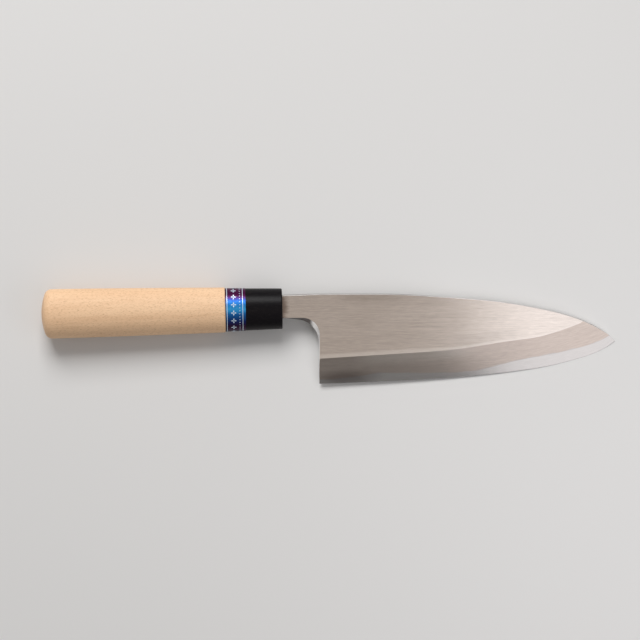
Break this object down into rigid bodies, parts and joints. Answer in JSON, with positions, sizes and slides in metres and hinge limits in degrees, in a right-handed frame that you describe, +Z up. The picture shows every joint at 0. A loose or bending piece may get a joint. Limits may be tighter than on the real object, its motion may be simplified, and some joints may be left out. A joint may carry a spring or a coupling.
{
  "type": "deba knife",
  "caption": "Heavy single-bevel kitchen knife for fish, with a laminated steel blade, an oval pale wooden grip and a black ferrule with a blue and violet foil band.",
  "frame": {"origin": "on the board under the middle of the lying knife's box", "axes": "+X from the butt towards the tip, +Y from the cutting edge towards the spine, +Z up, away from the board; the ground face looks up"},
  "size_m": [0.3191, 0.0537, 0.0234],
  "materials": {
    "blade_steel": "satin, ground along the blade",
    "hard_steel": "finer satin than the cladding",
    "pale_wood": "sanded bare wood with fine straight grain",
    "black_plastic": "smooth moulded, half gloss",
    "blue_violet_film": "metallised film that turns from violet to blue and back",
    "adhesive": "cured resin"
  },
  "bodies": {
    "root": {"blade_cladding": "blade_steel", "edge_steel": "hard_steel", "handle_grip": "pale_wood", "ferrule": "black_plastic", "foil_band": "blue_violet_film", "tang_bedding": "adhesive"}
  },
  "joints": []
}
